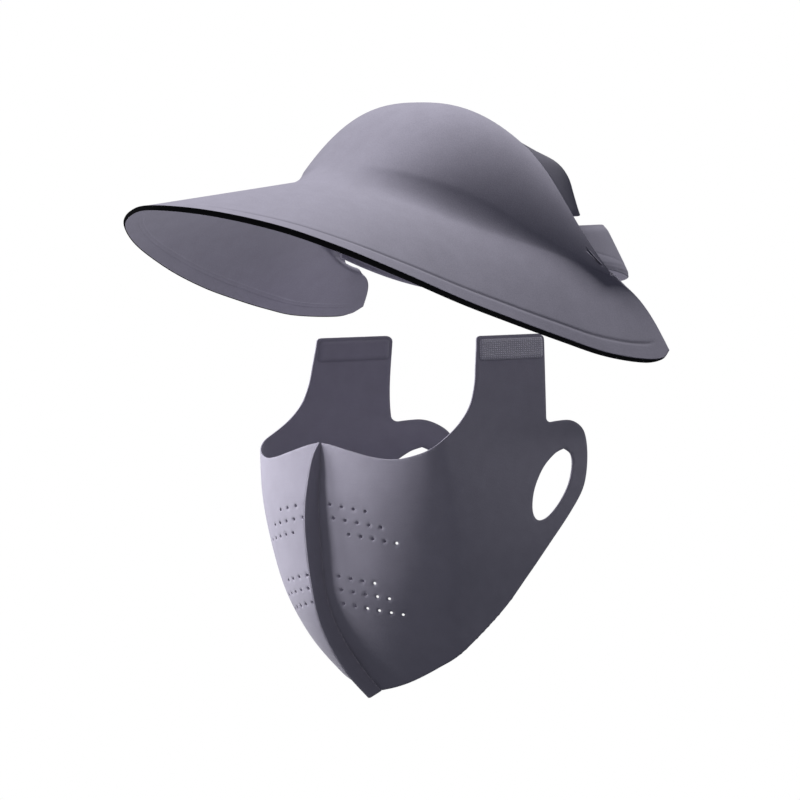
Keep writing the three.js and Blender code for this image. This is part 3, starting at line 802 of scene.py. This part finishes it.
def mask_half_sheet(hole_radius):
    """Flat cut of the left half, and its point in space: the loft's section at that height, as far along as
    lies behind that place of the outline."""
    outline = spaced_evenly(half_outline(), SPACING["outline"])
    ear = spline([*EAR_HOLE, EAR_HOLE[0]], CURVE_STEPS["ear"])[:-1]
    ear = spaced_evenly(ear, SPACING["ear"])
    pressed = [patch_outline(step * PRESSED["step"]) for step in (-2, -1, 0, 1)]
    flat, faces = cut_sheet(outline, [ear, *breathing_holes(hole_radius)], SPACING["cloth"], pressed)
    share = mask_share(flat[:, 0], flat[:, 1])
    uv = np.stack([section_length(flat[:, 1], share), flat[:, 1]], 1)
    return mask_point(flat[:, 1], share), faces, uv, flat


def fin_surface(rows=150, around=48):
    """Section carried down the seam: a squared ellipse between the seam and the stand's table, nicked at its
    front where the two cloths part, drawn together at both ends."""
    share = np.linspace(0, 1, rows)
    outer_z = FIN["z"][-1] * share
    inner_z = (FIN["z"][-1] + FIN_END_RISE) * share
    inner_y = read_table(MASK_SECTIONS, "z", "seam", inner_z) + FIN_BEHIND
    outer_y = read_table(MASK_SECTIONS, "z", "seam", outer_z) - read_table(FIN, "z", "stand", outer_z)
    section = circle(np.linspace(0, 2 * np.pi, around, endpoint=False))
    squared = np.sign(section) * np.abs(section) ** FIN_SQUARED
    x = FIN_WALL / 2 * squared[:, 0]
    deep = (1 - squared[:, 1]) / 2
    nick = FIN_NICK["depth"] * bell(x, FIN_NICK["width"]) * (deep > FIN_NICK["front"])
    y = inner_y[:, None] + (outer_y - inner_y)[:, None] * deep + nick
    z = inner_z[:, None] + (outer_z - inner_z)[:, None] * deep
    grid = stacked(x, y, z)
    top, bottom = (np.broadcast_to(row.mean(0), (1, *row.shape)) for row in (grid[0], grid[-1]))
    grid = np.concatenate([top, grid, bottom])
    return mapped_grid(np.concatenate([grid, grid[:, :1]], 1))


def set_inputs(tree, node, values):
    """Links sockets to a node's inputs and sets numbers on them; an underscore stands for a space."""
    for place, value in values.items():
        taken = node.inputs[place.replace("_", " ") if isinstance(place, str) else place]
        if isinstance(value, bpy.types.NodeSocket):
            tree.links.new(value, taken)
        else:
            taken.default_value = value


def add_node(tree, kind, **values):
    """New shader node with its inputs set."""
    node = tree.nodes.new("ShaderNode" + kind)
    set_inputs(tree, node, values)
    return node


def math_node(tree, operation, *values):
    """Math node on sockets or numbers; gives its output."""
    node = add_node(tree, "Math")
    node.operation = operation
    set_inputs(tree, node, dict(enumerate(values)))
    return node.outputs[0]


def new_group(name, **numbers):
    """Node group that takes a vector and numbers and puts out a height and a shade round one. Also gives the
    sockets that it takes."""
    group = bpy.data.node_groups.new(name, "ShaderNodeTree")
    new_socket = group.interface.new_socket
    new_socket(name="Vector", in_out="INPUT", socket_type="NodeSocketVector")
    for number, value in numbers.items():
        new_socket(name=number, in_out="INPUT", socket_type="NodeSocketFloat").default_value = value
    new_socket(name="Height", in_out="OUTPUT", socket_type="NodeSocketFloat")
    new_socket(name="Shade", in_out="OUTPUT", socket_type="NodeSocketColor")
    return group, group.nodes.new("NodeGroupInput").outputs


def divided(group, vector, size):
    """Vector times one over the size."""
    scaled = add_node(group, "VectorMath")
    scaled.operation = "SCALE"
    set_inputs(group, scaled, {0: vector, "Scale": math_node(group, "DIVIDE", 1.0, size)})
    return scaled.outputs[0]


def put_out(group, height, value, middle, contrast):
    """Puts out a height, and as the shade one plus the contrast times how far a value is from its middle."""
    shade = math_node(group, "MULTIPLY_ADD", math_node(group, "SUBTRACT", value, middle), contrast, 1.0)
    colour = add_node(group, "CombineXYZ", X=shade, Y=shade, Z=shade)
    outside = group.nodes.new("NodeGroupOutput")
    set_inputs(group, outside, {"Height": height, "Shade": colour.outputs[0]})
    return group


def knit_group():
    """Cloth grain: rows of small V stitches on a map, mixed with fine fuzz and a wide mottle."""
    name = "Knit grain"
    if name in bpy.data.node_groups:
        return bpy.data.node_groups[name]
    group, inside = new_group(name, Stitch=0.0009, Rows=0.5, Contrast=0.1)
    scaled = divided(group, inside["Vector"], inside["Stitch"])
    parts = add_node(group, "SeparateXYZ", Vector=scaled).outputs
    wale = math_node(group, "PINGPONG", parts["X"], 0.5)
    slope = math_node(group, "MULTIPLY_ADD", wale, 1.2, parts["Y"])
    course = math_node(group, "SINE", math_node(group, "MULTIPLY", slope, 2 * math.pi))
    ridge = math_node(group, "SINE", math_node(group, "MULTIPLY", wale, 2 * math.pi))
    stitch = math_node(group, "MULTIPLY_ADD", course, 0.3, math_node(group, "MULTIPLY", ridge, 0.5))
    fuzz = add_node(group, "TexNoise", Vector=scaled, Scale=1.3, Detail=3.0, Roughness=0.65).outputs["Fac"]
    mottle = add_node(group, "TexNoise", Vector=inside["Vector"], Scale=90.0, Detail=2.0).outputs["Fac"]
    height = add_node(group, "Mix", Factor=inside["Rows"], A=fuzz, B=stitch).outputs["Result"]
    both = math_node(group, "ADD", math_node(group, "MULTIPLY", height, 0.6), fuzz)
    both = math_node(group, "ADD", both, math_node(group, "MULTIPLY", mottle, 0.5))
    return put_out(group, height, both, 1.0, inside["Contrast"])


def hook_group():
    """Hook tape: a staggered grid of small heads on a map."""
    name = "Hook tape dots"
    if name in bpy.data.node_groups:
        return bpy.data.node_groups[name]
    group, inside = new_group(name, Pitch=0.0014, Contrast=0.4)
    scaled = divided(group, inside["Vector"], inside["Pitch"])
    dots = add_node(group, "TexVoronoi", Vector=scaled, Scale=1.0, Randomness=0.25)
    dots.voronoi_dimensions = "2D"
    head = add_node(group, "MapRange", Value=dots.outputs["Distance"], From_Min=0.42, From_Max=0.15)
    head.interpolation_type = "SMOOTHSTEP"
    height = head.outputs["Result"]
    return put_out(group, height, height, 0.35, inside["Contrast"])


def new_material(name, colour, **values):
    """Material with a Principled BSDF and the constants that are the same all over."""
    material = bpy.data.materials.new(name)
    material.use_nodes = True
    tree = material.node_tree
    shader = tree.nodes["Principled BSDF"]
    set_inputs(tree, shader, {"Base Color": (*colour, 1), **values})
    return material, tree, shader


def tinted(tree, colour, *shades):
    """Colour times each shade; gives the last output."""
    result = add_node(tree, "RGB").outputs[0]
    result.default_value = (*colour, 1)
    for shade in shades:
        mix = add_node(tree, "Mix", Factor=1)
        mix.data_type = "RGBA"
        mix.blend_type = "MULTIPLY"
        set_inputs(tree, mix, {6: result, 7: shade})
        result = mix.outputs[2]
    return result


def grain_node(tree, group, place, **values):
    """Node of a grain group on a kind of coordinates; gives its outputs."""
    node = add_node(tree, "Group")
    node.node_tree = group
    set_inputs(tree, node, {"Vector": add_node(tree, "TexCoord").outputs[place], **values})
    return node.outputs


def bumped(tree, height, distance, strength):
    """Normal tilted by the slope of a height, of which one stands for the distance in metres."""
    return add_node(tree, "Bump", Height=height, Distance=distance, Strength=strength).outputs["Normal"]


def cloth_material(name, colour):
    """Matt knit of the table, with painted shade darkening its pressed lines."""
    if name in bpy.data.materials:
        return bpy.data.materials[name]
    knit = KNITS[name]
    material, tree, shader = new_material(
        name, colour, Roughness=0.85, Sheen_Weight=0.12, Sheen_Roughness=0.6, Specular_IOR_Level=0.25)
    grain = grain_node(
        tree, knit_group(), knit["place"], Stitch=knit["stitch"], Rows=knit["rows"], Contrast=0.34)
    press = add_node(tree, "Attribute")
    press.attribute_name = "press"
    # Painted shade: the point attribute darkens the colour by up to a quarter in pressed grooves.
    groove_darkening = add_node(tree, "MapRange", Value=press.outputs["Fac"], To_Min=1, To_Max=0.75)
    set_inputs(tree, shader, {
        "Base Color": tinted(tree, colour, grain["Shade"], groove_darkening.outputs["Result"]),
        "Normal": bumped(tree, grain["Height"], 0.00025, 0.5)})
    return material


def edge_material(colour):
    """Black cut edge of the bonded layers, slightly open-grained."""
    material, tree, shader = new_material("Cut edge", colour, Roughness=0.9, Specular_IOR_Level=0.05)
    grain = grain_node(tree, knit_group(), "Object", Stitch=0.0006, Rows=0.0, Contrast=0.3)
    set_inputs(tree, shader, {
        "Base Color": tinted(tree, colour, grain["Shade"]),
        "Normal": bumped(tree, grain["Height"], 0.0002, 0.5)})
    return material


def tape_material(colour):
    """Hook tape: a woven ground with a grid of small heads."""
    material, tree, shader = new_material("Hook tape", colour, Roughness=0.6)
    ground = grain_node(tree, knit_group(), "UV", Stitch=0.0006, Rows=0.6, Contrast=0.2)
    hooks = grain_node(tree, hook_group(), "UV", Pitch=0.0013, Contrast=0.5)
    set_inputs(tree, shader, {
        "Base Color": tinted(tree, colour, ground["Shade"], hooks["Shade"]),
        "Normal": bumped(tree, hooks["Height"], 0.0003, 0.8)})
    return material


class SUNHAT_OT_shell(bpy.types.Operator):
    """Builds the crown and brim with their slits and pressed line"""

    bl_idname = "sunhat.shell"
    bl_label = "Crown and brim"

    def execute(self, context):
        hat = context.scene.sun_hat
        points, faces, groove = shell_sheet()
        dent = hat.groove_depth / MM * groove
        points = points - point_normals(points, faces) * dent
        closed, all_faces, source = wall(points, faces, hat.shell_wall / MM - dent[:, 0], ROLL["shell"])
        # Painted shade along the pressed groove, on the outer sheet only.
        groove_shade = np.where(np.arange(len(source)) < len(points), groove[source, 0], 0)
        material = cloth_material("Bonded knit", hat.cloth)
        make_piece("hat_crown_and_brim", closed, all_faces, material, groove_shade=groove_shade)
        return {"FINISHED"}


class SUNHAT_OT_edge(bpy.types.Operator):
    """Builds the black cut edge along the rim"""

    bl_idname = "sunhat.edge"
    bl_label = "Rim edge"

    def execute(self, context):
        hat = context.scene.sun_hat
        signed = np.linspace(-EDGE["ends"], EDGE["ends"], EDGE["columns"])
        column, side = np.abs(signed), np.where(signed < 0, -1.0, 1.0)
        rows = 1 - np.array([EDGE["depth"], EDGE["depth"] / 2, 0])[:, None] / brim_length(column)
        grid = on_side(brim_point(np.broadcast_to(column, rows.shape), rows), side, rows)
        faces, _ = grid_faces(*grid.shape[:2])
        points = grid.reshape(-1, 3)
        full = 1 - smoothstep(np.tile(column, len(rows)), EDGE["thins"], EDGE["thin"])
        points = points + point_normals(points, faces) * (EDGE["top"] * full[:, None])
        lip = np.tile(smoothstep(signed, EDGE_LIP["from"], EDGE_LIP["to"]), len(rows)) * EDGE["under"]
        thickness = hat.shell_wall / MM - EDGE_THINNER + (EDGE_THINNER + EDGE["top"] + lip) * full
        closed, all_faces, _ = wall(points, faces, thickness, ROLL["edge"], EDGE["steps"])
        make_piece("brim_cut_edge", closed, all_faces, edge_material(hat.edge))
        return {"FINISHED"}


class SUNHAT_OT_panel(bpy.types.Operator):
    """Builds the back of the crown behind the rear arch"""

    bl_idname = "sunhat.panel"
    bl_label = "Crown back"

    def execute(self, context):
        hat = context.scene.sun_hat
        material = cloth_material("Back panel knit", hat.cloth)
        make_band("crown_back", panel_sheet(), material, hat.panel_wall, ROLL["panel"])
        return {"FINISHED"}


class SUNHAT_OT_strap(bpy.types.Operator):
    """Builds the strap round the back of the head"""

    bl_idname = "sunhat.strap"
    bl_label = "Back strap"

    def execute(self, context):
        hat = context.scene.sun_hat
        material = cloth_material("Strap knit", hat.cloth)
        make_band("head_strap", strap_sheet(), material, hat.strap_wall, ROLL["strap"])
        return {"FINISHED"}


class SUNHAT_OT_mask(bpy.types.Operator):
    """Builds the mask's two halves with their ear holes and breathing holes"""

    bl_idname = "sunhat.mask"
    bl_label = "Mask halves"

    def execute(self, context):
        mask = context.scene.sun_mask
        points, faces, uv, flat = mask_half_sheet(mask.hole_radius / MM)
        patch = patch_outline()
        to_patch = distance_to(flat, [patch])
        groove = bell(to_patch, PRESSED["step"])
        inwards = np.where(within(flat, patch), to_patch, -to_patch)
        raised = mask.strip_rise / MM * smoothstep(inwards, 0, 2 * PRESSED["step"])
        thickness = mask.wall / MM - PRESSED["depth"] * groove + raised
        closed, all_faces, source = wall(points, faces, thickness, ROLL["mask"])
        # Painted shade in the pressed lines round the patch, on the back sheet only.
        groove_shade = np.where(np.arange(len(source)) >= len(points), groove[source] * PRESSED["shade"], 0)
        material = cloth_material("Mask knit", mask.cloth)
        make_pair("mask_cloth_", closed, all_faces, material, uv[source], groove_shade)
        return {"FINISHED"}


class SUNHAT_OT_seam(bpy.types.Operator):
    """Builds the fin of the mask's centre seam"""

    bl_idname = "sunhat.seam"
    bl_label = "Mask seam"

    def execute(self, context):
        points, faces, uv = fin_surface()
        placed, faces = placed_mask(points, faces, 1)
        material = cloth_material("Mask knit", context.scene.sun_mask.cloth)
        make_piece("mask_seam_fin", placed, faces, material, uv)
        return {"FINISHED"}


class SUNHAT_OT_patches(bpy.types.Operator):
    """Builds the hook patch on the outside of each tab"""

    bl_idname = "sunhat.patches"
    bl_label = "Hook patches"

    def execute(self, context):
        outline = patch_outline()
        flat, faces = cut_sheet(outline, [], SPACING["patch"])
        points = mask_point(flat[:, 1], mask_share(flat[:, 0], flat[:, 1]))
        middle = smoothstep(distance_to(flat, [outline]), 0, PATCH_DOME["reach"])
        domed = PATCH_DOME["edge"] + PATCH_DOME["rise"] * middle
        points = points + point_normals(points, faces) * (domed[:, None] + PATCH_DOME["gap"])
        closed, all_faces, source = wall(points, faces, domed, ROLL["patch"])
        make_pair("hook_patch_", closed, all_faces, tape_material(context.scene.sun_mask.tape), flat[source])
        return {"FINISHED"}


def place_facing(name, data, direction, distance):
    """Camera or light in a direction from the aim, turned to the aim."""
    direction = direction.normalized()
    thing = bpy.data.objects.new(name, data)
    thing.location = AIM + direction * distance
    thing.rotation_mode = "QUATERNION"
    thing.rotation_quaternion = (-direction).to_track_quat("-Z", "Y")
    bpy.context.scene.collection.objects.link(thing)
    return thing


def area_light(name, direction, power, size, on, past):
    """Square light that lights some pieces only, and is shaded by some only."""
    data = bpy.data.lights.new(name, "AREA")
    data.size = size
    data.energy = power
    light = place_facing(name, data, direction, LIGHT_DISTANCE)
    for use, pieces in (("receiver", on), ("blocker", past)):
        group = bpy.data.collections.new(name + " " + use + "s")
        for piece in pieces:
            group.objects.link(bpy.data.objects[piece])
        setattr(light.light_linking, use + "_collection", group)


def shader_tree(owner, output):
    """Node tree of a material or a world with its output node only, and that node's surface input."""
    owner.use_nodes = True
    tree = owner.node_tree
    tree.nodes.clear()
    return tree, add_node(tree, output).inputs["Surface"]


def set_surroundings(scene, strength):
    """White to the camera, and an even weak light to the object."""
    scene.world = bpy.data.worlds.new("studio")
    tree, surface = shader_tree(scene.world, "OutputWorld")
    seen = add_node(tree, "Background", Color=(1, 1, 1, 1))
    lighting = add_node(tree, "Background", Color=SKY_COLOUR, Strength=strength)
    mix = add_node(tree, "MixShader", Fac=add_node(tree, "LightPath").outputs["Is Camera Ray"])
    set_inputs(tree, mix, {1: lighting.outputs[0], 2: seen.outputs[0]})
    tree.links.new(mix.outputs[0], surface)


def add_floor(scene, drop):
    """Round pale floor that the camera sees evenly white."""
    material = bpy.data.materials.new("Pale floor")
    tree, surface = shader_tree(material, "OutputMaterial")
    tree.links.new(add_node(tree, "Emission", Strength=1).outputs[0], surface)
    low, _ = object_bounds()
    rim = FLOOR["radius"] * circle(np.linspace(0, 2 * np.pi, FLOOR["corners"], endpoint=False))
    mesh = bpy.data.meshes.new("floor")
    mesh.from_pydata([(x, y, low.z - drop) for x, y in rim.tolist()], [], [list(range(len(rim)))])
    mesh.materials.append(material)
    floor = bpy.data.objects.new("floor", mesh)
    scene.collection.objects.link(floor)
    floor.visible_diffuse = False
    floor.visible_glossy = False
    floor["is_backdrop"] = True


class SUNHAT_OT_stage(bpy.types.Operator):
    """Sets the camera, the lights and a plain pale floor"""

    bl_idname = "sunhat.stage"
    bl_label = "Stage"

    def execute(self, context):
        scene = context.scene
        stage = scene.sun_stage
        a, e = stage.azimuth, stage.elevation
        back = Vector((math.sin(a) * math.cos(e), -math.cos(a) * math.cos(e), math.sin(e)))
        right, up = Vector((math.cos(a), math.sin(a), 0)), Vector((0, 0, 1))
        lens = bpy.data.cameras.new("camera")
        lens.lens = stage.lens
        lens.sensor_width = SENSOR_WIDTH
        scene.camera = place_facing("camera", lens, back, stage.distance)
        for name, light in LIGHTS.items():
            to_right, to_camera, to_top = light["from"]
            direction = right * to_right + back * to_camera + up * to_top
            area_light(name, direction, getattr(stage, name), light["size"], light["on"], light["past"])
        set_surroundings(scene, stage.sky)
        add_floor(scene, stage.floor_drop)
        scene.view_settings.view_transform = "Standard"
        return {"FINISHED"}


STEPS = (
    SUNHAT_OT_edge,
    SUNHAT_OT_shell,
    SUNHAT_OT_panel,
    SUNHAT_OT_strap,
    SUNHAT_OT_mask,
    SUNHAT_OT_seam,
    SUNHAT_OT_patches,
    SUNHAT_OT_stage,
)


class SUNHAT_PT_pieces(bpy.types.Panel):
    """Sizes, colours and build steps of the hat and its mask"""

    bl_label = "Sun hat with face mask"
    bl_idname = "SUNHAT_PT_pieces"
    bl_space_type = "VIEW_3D"
    bl_region_type = "UI"
    bl_category = "Sun hat"

    def draw(self, context):
        """Each group of settings in a box, then the build steps."""
        layout = self.layout
        for settings in (context.scene.sun_hat, context.scene.sun_mask, context.scene.sun_stage):
            box = layout.box()
            for name in settings.__annotations__:
                box.prop(settings, name)
        for step in STEPS:
            layout.operator(step.bl_idname)


GROUPS = {"sun_hat": HatSettings, "sun_mask": MaskSettings, "sun_stage": StageSettings}


def register():
    """Adds the settings, the build steps and the panel."""
    for kind in (*GROUPS.values(), *STEPS, SUNHAT_PT_pieces):
        bpy.utils.register_class(kind)
    for name, group in GROUPS.items():
        setattr(bpy.types.Scene, name, PointerProperty(type=group))


def unregister():
    """Takes them away, the panel first."""
    for name in GROUPS:
        delattr(bpy.types.Scene, name)
    for kind in (SUNHAT_PT_pieces, *STEPS, *GROUPS.values()):
        bpy.utils.unregister_class(kind)


def main():
    register()
    bpy.ops.sunhat.edge()
    bpy.ops.sunhat.shell()
    bpy.ops.sunhat.panel()
    bpy.ops.sunhat.strap()
    bpy.ops.sunhat.mask()
    bpy.ops.sunhat.seam()
    bpy.ops.sunhat.patches()
    bpy.ops.sunhat.stage()


if __name__ == "__main__":
    main()
